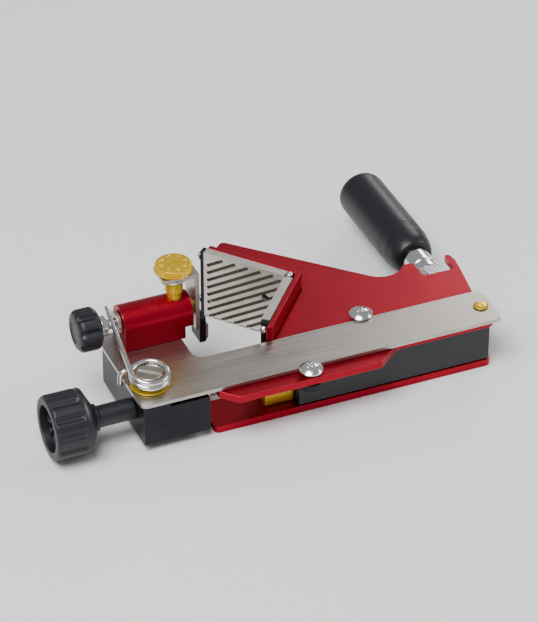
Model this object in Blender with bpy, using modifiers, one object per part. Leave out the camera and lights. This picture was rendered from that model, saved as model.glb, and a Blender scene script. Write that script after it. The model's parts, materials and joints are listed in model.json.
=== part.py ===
"""Hand tool with a sliding carriage, a ribbed V cradle and a side handle.

The tool lies flat, +Z up.  Two red plates clamp a V cradle, a dark core, a handle socket and a
feed nut between them.  A steel L-plate slides along X on the upper plate and carries the feed
knob, the spring-loaded index pin, the depth screw and the blade.

All sizes are millimetres, measured from a datum on the front edge of the sliding strip.
The builders below turn them into metres.
"""
import math

import bmesh
import bpy
from mathutils import Matrix, Vector

MM = 0.001
GAP = 0.3

# Sliding L-plate: a strip along X with an arm reaching back at its left end.
STRIP_LEFT = -75.0
STRIP_RIGHT = 76.5
STRIP_WIDTH = 21.0
STRIP_THICK = 1.5
STRIP_TOP = 24.5
ARM_RIGHT = -44.8
RIVET = (71.7, 10.5)
ARM_BACK = 50.0

# Plate pair and the space between them.
PLATE_THICK = 3.0
UPPER_TOP = STRIP_TOP - STRIP_THICK - GAP
UPPER_LOW = UPPER_TOP - PLATE_THICK
CORE_LOW = PLATE_THICK + GAP
CORE_TOP = UPPER_LOW - GAP
PLATE_LEFT = -43.5
PLATE_FRONT = -6.0
PLATE_HIDDEN = 2.5
REAR_LINE = 90.7

# V cradle: two arms either side of -X, open to the left.
APEX_X = 5.2
APEX_Y = 51.35
ARM_ANGLE = math.radians(50)
ARM_LENGTH = 36.3
RIB_PLATE_THICK = 3.4
WALL_THICK = 2.0
WALL_FACE = RIB_PLATE_THICK + GAP
WALL_BACK = WALL_FACE + WALL_THICK
FLANGE_BACK = WALL_BACK + 6.5
CRADLE_TOP = STRIP_TOP + 6.3
CRADLE_FRONT = STRIP_WIDTH + GAP

# Ribs on the cradle plates.
RIB_PITCH = 3.0
RIB_GROOVE = 1.4
RIB_DEPTH = 0.8
RIB_TILT = math.radians(32)
RIB_MARGIN = 1.5
END_STRIP = 1.4

# Shafts: the feed screw, the index pin, the depth screw and the handle.
SHAFT_Z = 14.0
FEED_Y = 14.1
FEED_LEFT = -108.0
FEED_HEAD_RIGHT = -93.0
FEED_HEAD_RADIUS = 13.0
NECK_LEFT = -88.0
FEED_END = 0.0
FEED_RADIUS = 3.0
PIN_Y = 42.0
PIN_Z = 34.6
PIN_RADIUS = 2.0
DEPTH_X = -45.1
DEPTH_TOP = 56.0
DISC_RADIUS = 7.4
DISC_THICK = 3.4
HANDLE_X = 68.6
GRIP_RADIUS = 10.0
GRIP_START = 64.6
GRIP_END = 120.0

# Carriage.
BLOCK_LEFT = -67.9
BLOCK_RIGHT = -39.8
BLOCK_WIDTH = 14.0
BLOCK_LOW = STRIP_TOP + GAP
JAW_LEFT = -73.0
JAW_RIGHT = -46.0
JAW_NECK = -62.0
CLAMP_X = -65.0
JAW_FRONT = 3.0
JAW_BACK = 48.5
JAW_LOW = CORE_LOW + GAP
JAW_TOP = CORE_TOP - GAP

# Torsion spring on the strip's left corner.
SPRING_X = -67.0
SPRING_Y = 12.2
SPRING_RADIUS = 7.0
WIRE_RADIUS = 1.05
SPRING_PITCH = 2.3
SPRING_LOW = STRIP_TOP + 2.9
SPRING_TILT = 0.13

# Screws.
GUIDE_OFFSET = 2.7
GUIDE_UPPER = (26.0, STRIP_WIDTH + GUIDE_OFFSET)
GUIDE_LOWER = (-6.7, -GUIDE_OFFSET)
HEAD_RADIUS = 4.7
SCREW_BORE = 1.75
SCREW_CORE = 1.4
NUT_X = -15.0
SOCKET_Y = 33.5
CORE_FRONT = 4.0
CORE_LEFT = -8.5
CORE_RIGHT = 73.0
CORE_BORE_END = 22.0
CORE_SCREWS = ((12.0, 10.8), (50.0, 10.8))

# The frame's origin: the middle of the footprint.
ORIGIN_X = (FEED_LEFT + HANDLE_X + GRIP_RADIUS) / 2
ORIGIN_Y = (GUIDE_LOWER[1] - HEAD_RADIUS + GRIP_END) / 2

# Turns of the usual axes: from local Z to the direction in the name.
ALONG_X = (0, math.pi / 2, 0)
ALONG_Y = (-math.pi / 2, 0, 0)
PROFILE_XZ = (math.pi / 2, 0, 0)
PROFILE_YZ = (math.pi / 2, 0, math.pi / 2)

ROUND = 32


# ---------------------------------------------------------------- scene and materials

def clear_scene():
    for obj in list(bpy.data.objects):
        bpy.data.objects.remove(obj, do_unlink=True)


def new_collection(name):
    group = bpy.data.collections.new(name)
    bpy.context.scene.collection.children.link(group)
    return group


def material(name, colour, roughness, metallic=0.0):
    made = bpy.data.materials.new(name)
    made.use_nodes = True
    shader = made.node_tree.nodes["Principled BSDF"]
    shader.inputs["Base Color"].default_value = (*colour, 1.0)
    shader.inputs["Roughness"].default_value = roughness
    shader.inputs["Metallic"].default_value = metallic
    return made


clear_scene()
PARTS = new_collection("edge_tuning_tool")
CUTTERS = new_collection("cutters")
DATUM = bpy.data.objects.new("datum", None)
DATUM.location = (-ORIGIN_X * MM, -ORIGIN_Y * MM, 0.0)
PARTS.objects.link(DATUM)

RED = material("red anodised aluminium", (0.42, 0.012, 0.022), 0.3, 0.7)
STEEL = material("brushed stainless steel", (0.55, 0.52, 0.49), 0.32, 1.0)
NICKEL = material("nickel plated steel", (0.60, 0.56, 0.50), 0.35, 0.9)
CHROME = material("bright plated steel", (0.80, 0.80, 0.79), 0.12, 1.0)
BRASS = material("brass", (0.80, 0.56, 0.13), 0.25, 1.0)
BLACK = material("black moulded plastic", (0.012, 0.012, 0.014), 0.45)
DARK = material("blackened steel", (0.05, 0.05, 0.055), 0.4, 0.8)
GREY = material("aluminium", (0.45, 0.45, 0.46), 0.4, 1.0)


# ---------------------------------------------------------------- outlines

def circle(x, y, radius, count=24):
    step = 2 * math.pi / count
    return [(x + radius * math.cos(i * step), y + radius * math.sin(i * step))
            for i in range(count)]


def rounded(corners, pieces=5):
    """Closed outline through corners (x, y, fillet radius)."""
    points = []
    for index, (x, y, radius) in enumerate(corners):
        here = Vector((x, y))
        back = (Vector(corners[index - 1][:2]) - here).normalized()
        ahead = (Vector(corners[(index + 1) % len(corners)][:2]) - here).normalized()
        if radius == 0:
            points.append((x, y))
            continue
        half = back.angle(ahead) / 2
        centre = here + (back + ahead).normalized() * (radius / math.sin(half))
        start = here + back * (radius / math.tan(half)) - centre
        turn = start.angle_signed(here + ahead * (radius / math.tan(half)) - centre)
        for piece in range(pieces + 1):
            spoke = start.copy()
            spoke.rotate(Matrix.Rotation(-turn * piece / pieces, 2))
            points.append((centre.x + spoke.x, centre.y + spoke.y))
    return points


def lobed(radius, depth, lobes, per_lobe=6):
    """Knob outline: full radius on the lobes, scooped between them."""
    count = lobes * per_lobe
    points = []
    for i in range(count):
        angle = 2 * math.pi * i / count
        scoop = max(0.0, -math.cos(lobes * angle))
        points.append(((radius - depth * scoop) * math.cos(angle),
                       (radius - depth * scoop) * math.sin(angle)))
    return points


def arm_point(side, along, out):
    """Plan point on a cradle arm: side +1 is the rear arm, -1 the front arm."""
    cosine, sine = math.cos(ARM_ANGLE), math.sin(ARM_ANGLE)
    return (APEX_X + out * sine - along * cosine, APEX_Y + side * (out * cosine + along * sine))


def apex_point(out):
    """Where the two arms' planes at this distance behind the ribbed faces meet."""
    return (APEX_X + out / math.sin(ARM_ANGLE), APEX_Y)


# ---------------------------------------------------------------- solids

def place(obj, name, finish, location=(0, 0, 0), rotation=(0, 0, 0)):
    obj.name = name
    obj.data.name = name
    obj.location = Vector(location) * MM
    obj.rotation_euler = rotation
    obj.parent = DATUM
    obj.data.materials.append(finish)
    PARTS.objects.link(obj)
    return obj


def flat(name, loops, thick, finish, location=(0, 0, 0), rotation=(0, 0, 0)):
    """A flat outline with holes, thick along its own Z, its middle at the location."""
    curve = bpy.data.curves.new(name, "CURVE")
    curve.dimensions = "2D"
    curve.fill_mode = "BOTH"
    curve.extrude = thick / 2 * MM
    for loop in loops:
        spline = curve.splines.new("POLY")
        spline.points.add(len(loop) - 1)
        for point, (x, y) in zip(spline.points, loop):
            point.co = (x * MM, y * MM, 0, 1)
        spline.use_cyclic_u = True
    return place(bpy.data.objects.new(name, curve), name, finish, location, rotation)


def plate(name, loops, low, high, finish):
    return flat(name, loops, high - low, finish, (0, 0, (low + high) / 2))


def as_mesh(obj):
    """Turn a curve object into a mesh object with its caps welded on."""
    graph = bpy.context.evaluated_depsgraph_get()
    graph.update()
    mesh = bpy.data.meshes.new_from_object(obj.evaluated_get(graph))
    work = bmesh.new()
    work.from_mesh(mesh)
    bmesh.ops.remove_doubles(work, verts=work.verts, dist=0.00001)
    bmesh.ops.recalc_face_normals(work, faces=work.faces)
    work.to_mesh(mesh)
    work.free()
    name = obj.name
    solid = bpy.data.objects.new(name, mesh)
    solid.matrix_local = obj.matrix_local
    solid.parent = DATUM
    bpy.data.objects.remove(obj)
    solid.name = name
    PARTS.objects.link(solid)
    return solid


def box(name, low, high, finish):
    """A box between two corners."""
    size = Vector(high) - Vector(low)
    mesh = bpy.data.meshes.new(name)
    work = bmesh.new()
    bmesh.ops.create_cube(work, size=1.0, matrix=Matrix.Diagonal((*(size * MM), 1.0)))
    work.to_mesh(mesh)
    work.free()
    return place(bpy.data.objects.new(name, mesh), name, finish, (Vector(low) + Vector(high)) / 2)


def turned(name, profile, finish, location, rotation=(0, 0, 0), ring=False, steps=ROUND):
    """Turn (radius, height) points about local Z; they run from the top down the outside."""
    mesh = bpy.data.meshes.new(name)
    edges = [(i, i + 1) for i in range(len(profile) - 1)]
    if ring:
        edges.append((len(profile) - 1, 0))
    mesh.from_pydata([(r * MM, 0, z * MM) for r, z in profile], edges, [])
    obj = place(bpy.data.objects.new(name, mesh), name, finish, location, rotation)
    screw = obj.modifiers.new("turn", "SCREW")
    screw.steps = steps
    screw.render_steps = steps
    screw.use_merge_vertices = True
    screw.merge_threshold = 0.00001
    screw.use_smooth_shade = True
    return obj


def sleeve(name, inner, outer, low, high, finish, location, rotation=(0, 0, 0)):
    """A plain ring or tube."""
    profile = [(outer, high), (outer, low), (inner, low), (inner, high)]
    return turned(name, profile, finish, location, rotation, ring=True)


def cut(target, mesh, name, matrix):
    """Take a cutter's shape out of a target."""
    cutter = bpy.data.objects.new(name, mesh)
    cutter.parent = DATUM
    cutter.matrix_local = matrix
    cutter.hide_render = True
    cutter.display_type = "WIRE"
    CUTTERS.objects.link(cutter)
    modifier = target.modifiers.new(name, "BOOLEAN")
    modifier.operation = "DIFFERENCE"
    modifier.object = cutter


def bore(target, name, radius, start, end, far_radius=None, count=24):
    """Drill from start to end; far_radius makes it a countersink."""
    line = (Vector(end) - Vector(start)) * MM
    mesh = bpy.data.meshes.new(name)
    work = bmesh.new()
    wide = radius if far_radius is None else far_radius
    bmesh.ops.create_cone(work, cap_ends=True, segments=count, radius1=radius * MM,
                          radius2=wide * MM, depth=line.length)
    work.to_mesh(mesh)
    work.free()
    turn = Vector((0, 0, 1)).rotation_difference(line).to_matrix().to_4x4()
    middle = (Vector(start) + Vector(end)) / 2 * MM
    cut(target, mesh, name, Matrix.Translation(middle) @ turn)


# ---------------------------------------------------------------- plates and core

def upper_front():
    """Front edge of the upper plate, with the lug that holds the front guide screw."""
    return [
        (PLATE_LEFT, 0.5, 2.0),
        (-37.5, PLATE_FRONT, 2.5),
        (22.0, PLATE_FRONT, 2.5),
        (32.0, PLATE_HIDDEN, 3.0),
        (74.0, PLATE_HIDDEN, 2.0),
    ]


def body_outline(front_edge):
    """Plan of a red plate, from the hidden front left corner, anticlockwise."""
    clear = WALL_BACK + GAP
    front = (APEX_Y - STRIP_WIDTH + GAP - clear * math.cos(ARM_ANGLE)) / math.sin(ARM_ANGLE)
    return rounded([
        (PLATE_LEFT, STRIP_WIDTH - GAP, 1.5),
        *front_edge,
        (74.2, 22.8, 0),
        (76.8, 38.8, 8.0),
        (77.8, 46.8, 4.0),
        (77.0, 51.0, 0.7),
        (75.0, 51.0, 0.7),
        (HANDLE_X + 6.2, 41.0, 1.5),
        (HANDLE_X - 7.5, 41.0, 1.5),
        (HANDLE_X - 7.5, 51.2, 1.2),
        (57.0, 51.2, 2.5),
        (48.5, 42.2, 9.5),
        (REAR_LINE - 95.0, 95.0, 2.0),
        (*arm_point(1, ARM_LENGTH + 2.0, clear), 0.5),
        (*apex_point(clear), 0),
        (*arm_point(-1, front, clear), 0),
    ])


def body_plates():
    upper_holes = [circle(x, y, SCREW_BORE) for x, y in (GUIDE_UPPER, GUIDE_LOWER)]
    plate("upper_plate", [body_outline(upper_front())] + upper_holes, UPPER_LOW, UPPER_TOP, RED)
    straight = [(PLATE_LEFT, CORE_FRONT, 2.0), (74.0, CORE_FRONT, 2.0)]
    lower = as_mesh(plate("lower_plate", [body_outline(straight)], 0, PLATE_THICK, RED))
    for index, (x, y) in enumerate(base_screw_places()):
        bore(lower, f"base_hole_{index}", SCREW_BORE, (x, y, -1), (x, y, PLATE_THICK + 1))
        bore(lower, f"countersink_{index}", 3.5, (x, y, -0.1), (x, y, 2.2), 1.6, count=20)


def base_screw_places():
    """Screws that come up through the lower plate."""
    flange = (WALL_BACK + FLANGE_BACK) / 2
    return [
        GUIDE_UPPER,
        arm_point(1, 26.0, flange),
        apex_point(flange),
        (NUT_X, FEED_Y),
        (HANDLE_X, SOCKET_Y - 7.5),
        *CORE_SCREWS,
    ]


def base_screws():
    profile = [(0, 9.0), (SCREW_CORE, 9.0), (SCREW_CORE, 2.2), (2.9, 0.3), (0, 0.3)]
    for index, (x, y) in enumerate(base_screw_places()):
        turned(f"base_screw_{index + 1}", profile, DARK, (x, y, 0), steps=20)


def core_block():
    """Dark block that fills the space under the strip and takes the end of the feed screw."""
    core = box("core_block", (CORE_LEFT, CORE_FRONT + GAP, CORE_LOW),
               (CORE_RIGHT, STRIP_WIDTH - 1.5, CORE_TOP), BLACK)
    bore(core, "core_bore", FEED_RADIUS + GAP, (CORE_LEFT - 1, FEED_Y, SHAFT_Z),
         (CORE_BORE_END, FEED_Y, SHAFT_Z))
    for index, (x, y) in enumerate(CORE_SCREWS):
        bore(core, f"core_tap_{index}", SCREW_BORE, (x, y, 0), (x, y, 10.0))


def guide_supports():
    """A pillar under the rear guide screw, a lock nut under the front one."""
    sleeve("rear_pillar", SCREW_BORE, 3.6, CORE_LOW, CORE_TOP, GREY, (*GUIDE_UPPER, 0))
    hexagon = [circle(0, 0, 4.3, 6), circle(0, 0, SCREW_BORE)]
    flat("front_guide_nut", hexagon, 3.2, DARK, (*GUIDE_LOWER, CORE_TOP - 1.6))


def guide_screws():
    """Shoulder screws: the strip runs between their shoulders and under their heads."""
    head_low = STRIP_TOP + GAP
    shoulder = GUIDE_OFFSET - GAP
    head = [
        (0, head_low + 2.1),
        (1.9, head_low + 2.0),
        (3.6, head_low + 1.4),
        (HEAD_RADIUS, head_low + 0.4),
        (HEAD_RADIUS, head_low),
        (shoulder, head_low),
        (shoulder, UPPER_TOP + GAP),
        (SCREW_CORE, UPPER_TOP + GAP),
    ]
    for name, (x, y), end in (("rear_guide_screw", GUIDE_UPPER, 11.0),
                              ("front_guide_screw", GUIDE_LOWER, 14.5)):
        screw = turned(name, head + [(SCREW_CORE, end), (0, end)], CHROME, (x, y, 0))
        for turn in (0, math.pi / 2):
            mesh = bpy.data.meshes.new(name + "_slot")
            work = bmesh.new()
            bmesh.ops.create_cube(work, size=MM, matrix=Matrix.Diagonal((4.4, 1.0, 2.6, 1.0)))
            work.to_mesh(mesh)
            work.free()
            spot = Matrix.Translation(Vector((x, y, head_low + 2.2)) * MM)
            cut(screw, mesh, name + "_slot", spot @ Matrix.Rotation(turn + 0.4, 4, "Z"))


def chevron(inner, outer, length):
    """The V between two distances behind the ribbed faces."""
    return [
        arm_point(1, length, inner),
        apex_point(inner),
        arm_point(-1, length, inner),
        arm_point(-1, length, outer),
        apex_point(outer),
        arm_point(1, length, outer),
    ]


def v_cradle():
    """Thin walls through both plates, with a flange that the plates clamp."""
    cradle = as_mesh(plate("v_cradle", [chevron(WALL_FACE, WALL_BACK, ARM_LENGTH)], 0,
                           CRADLE_TOP, RED))
    flange = chevron(WALL_BACK - 0.5, FLANGE_BACK, ARM_LENGTH - 4)
    band = as_mesh(plate("cradle_flange_tool", [flange], CORE_LOW, CORE_TOP, RED))
    band.hide_render = True
    band.display_type = "WIRE"
    PARTS.objects.unlink(band)
    CUTTERS.objects.link(band)
    union = cradle.modifiers.new("flange", "BOOLEAN")
    union.operation = "UNION"
    union.object = band
    for index in (1, 2):
        x, y = base_screw_places()[index]
        bore(cradle, f"cradle_tap_{index}", SCREW_BORE, (x, y, CORE_LOW - 1), (x, y, 10.0))
    trim = bpy.data.meshes.new("cradle_trim")
    work = bmesh.new()
    bmesh.ops.create_cube(work, size=60 * MM)
    work.to_mesh(trim)
    work.free()
    low = CRADLE_FRONT - 30
    cut(cradle, trim, "cradle_trim", Matrix.Translation(Vector((-10, low, 10)) * MM))


def groove_bars(length, height):
    """Slanted bars inside the rib plate's margins, as one cutter mesh.

    Each bar follows the line q = u sin(tilt) + w cos(tilt) for one value of q, where u runs
    from the apex along the plate and w upwards, and stops at the margins.
    """
    mesh = bpy.data.meshes.new("grooves")
    work = bmesh.new()
    left, right = RIB_MARGIN, length - RIB_MARGIN
    low, high = 0.0, height - RIB_MARGIN
    rise = math.tan(RIB_TILT)
    step = RIB_PITCH / math.cos(RIB_TILT)
    count = int((high + right * rise) / step)
    for index in range(1, count):
        top = low + index * step
        start = max(left, (top - high) / rise)
        end = min(right, (top - low) / rise)
        if end - start < 3:
            continue
        middle = (start + end) / 2
        spot = Matrix.Translation(Vector((middle, 0, top - middle * rise)) * MM)
        size = Matrix.Diagonal(((end - start) / math.cos(RIB_TILT), 2 * RIB_DEPTH, RIB_GROOVE, 1))
        turn = Matrix.Rotation(RIB_TILT, 4, "Y")
        bmesh.ops.create_cube(work, size=MM, matrix=spot @ turn @ size)
    work.to_mesh(mesh)
    work.free()
    return mesh


def rib_plates():
    """Two ribbed wear plates on the faces of the V, held by a face screw and end screws."""
    low, high = 0.6, CRADLE_TOP
    for name, side in (("rear", 1), ("front", -1)):
        length = ARM_LENGTH if side > 0 else ARM_LENGTH - 5.6
        corners = [arm_point(side, GAP, 0), arm_point(side, length, 0),
                   arm_point(side, length, RIB_PLATE_THICK), arm_point(side, GAP, RIB_PLATE_THICK)]
        ribs = as_mesh(plate(f"{name}_rib_plate", [corners], low, high, NICKEL))
        away = Vector(arm_point(side, 1, 0)) - Vector((APEX_X, APEX_Y))
        out = Vector(arm_point(side, 0, 1)) - Vector((APEX_X, APEX_Y))
        axes = Matrix(((away.x, out.x, 0), (away.y, out.y, 0), (0, 0, 1))).to_4x4()
        spot = Matrix.Translation(Vector((APEX_X, APEX_Y, low)) * MM) @ axes
        cut(ribs, groove_bars(length, high - low), f"{name}_grooves", spot)
        face_screw(f"{name}_face_screw", ribs, side)
        heights = (high - 3.2, low + 6.4)
        near, far = length + GAP, length + GAP + END_STRIP
        corners = [arm_point(side, near, 0.3), arm_point(side, far, 0.3),
                   arm_point(side, far, RIB_PLATE_THICK), arm_point(side, near, RIB_PLATE_THICK)]
        strip = as_mesh(plate(f"{name}_end_strip", [corners], low, high, DARK))
        for level, height in zip(("top", "low"), heights):
            end_screw(f"{name}_end_screw_{level}", (ribs, strip), side, length, height)


def aimed(start, end):
    return Vector((0, 0, 1)).rotation_difference(Vector(end) - Vector(start)).to_euler()


def end_screw(name, drilled, side, length, height):
    """A small round-head screw through an end strip into the free end of a rib plate."""
    mid = RIB_PLATE_THICK / 2
    start = Vector((*arm_point(side, length - 6, mid), height))
    end = Vector((*arm_point(side, length + END_STRIP + 1, mid), height))
    for number, target in enumerate(drilled):
        bore(target, f"{name}_tap_{number}", 1.1, start, end, count=16)
    seat = Vector((*arm_point(side, length + END_STRIP + 2 * GAP, mid), height))
    shank = 0.8
    profile = [(0, 1.7), (1.0, 1.5), (1.6, 0.8), (1.7, 0), (shank, 0), (shank, -6.0), (0, -6.0)]
    turned(name, profile, CHROME, seat, aimed(start, end), steps=20)


def face_screw(name, ribs, side):
    """Sunk screw through a rib plate, near the apex."""
    along, height = 8.6, 17.4
    inner = Vector((*arm_point(side, along, -1), height))
    outer = Vector((*arm_point(side, along, RIB_PLATE_THICK + 1), height))
    bore(ribs, name + "_hole", 1.7, inner, outer, count=20)
    seat = Vector((*arm_point(side, along, 1.3), height))
    profile = [(0, 0), (1.35, 0), (1.35, -2.2), (0, -2.2)]
    turned(name, profile, DARK, seat, aimed(outer, inner), steps=20)


def apex_pin():
    x = APEX_X + 2.2
    profile = [(0, CRADLE_TOP + 1.1), (0.9, CRADLE_TOP + 0.9), (1.4, CRADLE_TOP + 0.2),
               (1.4, 0.6), (0, 0.6)]
    turned("apex_pin", profile, CHROME, (x, APEX_Y, 0), steps=20)


def feed_nut():
    nut = box("feed_nut", (NUT_X - 6, FEED_Y - 5.3, CORE_LOW), (NUT_X + 6, FEED_Y + 5.3, CORE_TOP),
              BRASS)
    bore(nut, "feed_nut_bore", FEED_RADIUS + GAP, (NUT_X - 7, FEED_Y, SHAFT_Z),
         (NUT_X + 7, FEED_Y, SHAFT_Z))
    bore(nut, "feed_nut_tap", SCREW_BORE, (NUT_X, FEED_Y, CORE_LOW - 1), (NUT_X, FEED_Y, 10.0))


# ---------------------------------------------------------------- handle

def handle():
    socket = box("handle_socket", (HANDLE_X - 7.5, SOCKET_Y - 11, CORE_LOW),
                 (HANDLE_X + 5.3, SOCKET_Y + 7.5, CORE_TOP), GREY)
    bore(socket, "socket_bore", 4.3, (HANDLE_X, SOCKET_Y - 4, SHAFT_Z), (HANDLE_X, 60, SHAFT_Z))
    bore(socket, "socket_tap", SCREW_BORE, (HANDLE_X, SOCKET_Y - 7.5, 0),
         (HANDLE_X, SOCKET_Y - 7.5, 10.0))
    centre = (HANDLE_X, 0, SHAFT_Z)
    stud = [(0, 112.8), (2.6, 112.8), (2.6, 110.5), (4.0, 110.5), (4.0, 64.0), (5.9, 63.5),
            (5.9, 51.0), (4.0, 50.6), (4.0, SOCKET_Y - 3), (0, SOCKET_Y - 3)]
    turned("handle_stud", stud, CHROME, centre, ALONG_Y)
    hexagon = [circle(0, 0, 6.9, 6), circle(0, 0, 4.3)]
    flat("handle_nut", hexagon, 8.6, CHROME, (HANDLE_X, 46.0, SHAFT_Z), ALONG_Y)
    grip = [(8.2, GRIP_END), (9.6, GRIP_END - 1.0), (GRIP_RADIUS, GRIP_END - 3.0),
            (GRIP_RADIUS, GRIP_START + 9.0),
            (9.0, GRIP_START + 3.0), (7.6, GRIP_START), (4.4, GRIP_START), (4.4, 110.0),
            (6.6, 110.0), (6.6, GRIP_END)]
    turned("handle_grip", grip, BLACK, centre, ALONG_Y, ring=True)
    sleeve("grip_washer", 2.9, 6.2, 110.8, 112.2, STEEL, centre, ALONG_Y)
    cap = [(0, GRIP_END), (5.6, GRIP_END - 0.2), (6.3, GRIP_END - 0.8), (6.3, 115.5), (0, 115.5)]
    turned("grip_end_cap", cap, BLACK, centre, ALONG_Y)


# ---------------------------------------------------------------- carriage

def slide_plate():
    outline = rounded([
        (STRIP_LEFT, 0, 3.2),
        (STRIP_RIGHT, 0, 3.2),
        (STRIP_RIGHT, STRIP_WIDTH, 4.5),
        (ARM_RIGHT, STRIP_WIDTH, 4.5),
        (ARM_RIGHT, ARM_BACK, 1.5),
        (STRIP_LEFT, ARM_BACK, 2.0),
    ])
    holes = [circle(*RIVET, 2.3), circle(SPRING_X, SPRING_Y, 2.3), circle(CLAMP_X, PIN_Y, 1.8)]
    plate("slide_plate", [outline] + holes, STRIP_TOP - STRIP_THICK, STRIP_TOP, STEEL)
    low = STRIP_TOP - STRIP_THICK
    rivet = [(0, STRIP_TOP + 1.0), (1.8, STRIP_TOP + 0.9), (3.0, STRIP_TOP + GAP + 0.1),
             (3.0, STRIP_TOP + GAP), (2.0, STRIP_TOP + GAP), (2.0, low), (0, low)]
    turned("end_rivet", rivet, BRASS, (*RIVET, 0), steps=24)


def jaw_block():
    """Block under the arm; it runs between the plates and carries the feed screw."""
    under_arm = STRIP_TOP - STRIP_THICK - GAP
    profile = [(JAW_LEFT, JAW_LOW), (JAW_RIGHT, JAW_LOW), (JAW_RIGHT, JAW_TOP),
               (JAW_NECK, JAW_TOP), (JAW_NECK, under_arm), (JAW_LEFT, under_arm)]
    jaw = as_mesh(flat("jaw_block", [profile], JAW_BACK - JAW_FRONT, DARK,
                       (0, (JAW_FRONT + JAW_BACK) / 2, 0), PROFILE_XZ))
    bore(jaw, "jaw_feed_bore", FEED_RADIUS + GAP, (JAW_LEFT - 1, FEED_Y, SHAFT_Z),
         (JAW_RIGHT + 1, FEED_Y, SHAFT_Z))
    bore(jaw, "jaw_post_tap", 2.3, (SPRING_X, SPRING_Y, 19.0), (SPRING_X, SPRING_Y, 30.0))
    bore(jaw, "jaw_clamp_bore", 1.8, (CLAMP_X, PIN_Y, 10.0), (CLAMP_X, PIN_Y, 30.0))
    bore(jaw, "jaw_clamp_head", 3.4, (CLAMP_X, PIN_Y, 0.0), (CLAMP_X, PIN_Y, 12.0))


def spindle_block():
    """Round-topped red block on the arm, bored for the index pin and the depth screw."""
    radius = BLOCK_WIDTH / 2
    crown = 41.3 - radius
    arc = [(radius * math.cos(a), crown + radius * math.sin(a))
           for a in (math.pi * i / 16 for i in range(17))]
    outline = [(-radius, BLOCK_LOW), (radius, BLOCK_LOW)] + arc
    block = as_mesh(flat("spindle_block", [outline], BLOCK_RIGHT - BLOCK_LEFT, RED,
                         ((BLOCK_LEFT + BLOCK_RIGHT) / 2, PIN_Y, 0), PROFILE_YZ))
    bore(block, "pin_bore", PIN_RADIUS + GAP, (BLOCK_LEFT - 1, PIN_Y, PIN_Z),
         (BLOCK_RIGHT + 1, PIN_Y, PIN_Z))
    bore(block, "depth_bore", 3.3, (DEPTH_X, PIN_Y, PIN_Z), (DEPTH_X, PIN_Y, 45.0))
    bore(block, "block_screw_tap", 1.8, (CLAMP_X, PIN_Y, 20.0), (CLAMP_X, PIN_Y, 31.0))
    nose = bpy.data.meshes.new("block_nose")
    work = bmesh.new()
    bmesh.ops.create_cube(work, size=MM, matrix=Matrix.Diagonal((10, 20, 12, 1)))
    work.to_mesh(nose)
    work.free()
    cut(block, nose, "block_nose", Matrix.Translation(Vector((-38.2, PIN_Y, 24.0)) * MM))


def block_screw():
    """Cap screw up through the jaw and the arm into the spindle block."""
    profile = [(0, 30.7), (1.5, 30.7), (1.5, 11.7), (3.0, 11.7), (3.0, 8.0), (0, 8.0)]
    turned("block_screw", profile, DARK, (CLAMP_X, PIN_Y, 0), steps=24)


# ---------------------------------------------------------------- feed knob and screw

def feed():
    centre = ((FEED_LEFT + FEED_HEAD_RIGHT) / 2, FEED_Y, SHAFT_Z)
    loops = [lobed(FEED_HEAD_RADIUS, 1.1, 12), circle(0, 0, 9.3)]
    flat("feed_knob", loops, FEED_HEAD_RIGHT - FEED_LEFT, BLACK, centre, ALONG_X)
    axis = (0, FEED_Y, SHAFT_Z)
    hub = [(4.3, JAW_LEFT - GAP), (4.3, NECK_LEFT), (5.4, NECK_LEFT - 0.3), (5.4, NECK_LEFT - 1.5),
           (FEED_HEAD_RADIUS - 1.2, FEED_HEAD_RIGHT + GAP), (9.0, FEED_HEAD_RIGHT + GAP),
           (9.0, FEED_LEFT + 4.0), (FEED_RADIUS + GAP, FEED_LEFT + 4.0),
           (FEED_RADIUS + GAP, JAW_LEFT - GAP)]
    turned("feed_hub", hub, BLACK, axis, ALONG_X, ring=True)
    screw = [(0, FEED_END), (2.2, FEED_END), (FEED_RADIUS, FEED_END - 1.0),
             (FEED_RADIUS, FEED_LEFT + 5.0), (0, FEED_LEFT + 5.0)]
    turned("feed_screw", screw, STEEL, axis, ALONG_X)
    sleeve("feed_collar", FEED_RADIUS + GAP, 5.2, JAW_RIGHT + GAP, JAW_RIGHT + 2.4, STEEL, axis,
           ALONG_X)


# ---------------------------------------------------------------- index pin

def index_pin():
    axis = (0, PIN_Y, PIN_Z)
    pin = [(0, -35.4), (1.4, -35.6), (PIN_RADIUS, -36.6), (PIN_RADIUS, -84.0), (0, -84.0)]
    turned("index_pin", pin, STEEL, axis, ALONG_X, steps=24)
    sleeve("pin_collar", PIN_RADIUS + GAP, 4.8, BLOCK_LEFT - 2.0, BLOCK_LEFT - GAP, STEEL, axis,
           ALONG_X)
    sleeve("pull_knob_ferrule", PIN_RADIUS + GAP, 4.0, -76.0, -73.6, STEEL, axis, ALONG_X)
    sleeve("pin_bush", PIN_RADIUS + GAP, 3.6, BLOCK_RIGHT + GAP, BLOCK_RIGHT + 1.2, BRASS, axis,
           ALONG_X)
    loops = [lobed(8.5, 1.2, 8), circle(0, 0, PIN_RADIUS + GAP)]
    flat("pull_knob", loops, 10.0, BLACK, (-81.4, PIN_Y, PIN_Z), ALONG_X)


# ---------------------------------------------------------------- depth screw and blade

def depth_screw():
    disc = [(0, DEPTH_TOP), (DISC_RADIUS - 0.6, DEPTH_TOP), (DISC_RADIUS, DEPTH_TOP - 0.6),
            (DISC_RADIUS, DEPTH_TOP - 2.8), (DISC_RADIUS - 0.6, DEPTH_TOP - DISC_THICK),
            (3.5, DEPTH_TOP - DISC_THICK), (3.5, 43.6), (3.0, 43.2), (3.0, 39.2),
            (2.4, 38.8), (0, 38.8)]
    turned("depth_screw", disc, BRASS, (DEPTH_X, PIN_Y, 0))
    sleeve("depth_ring", 3.8, 5.0, 49.0, 50.0, STEEL, (DEPTH_X, PIN_Y, 0))


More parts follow.
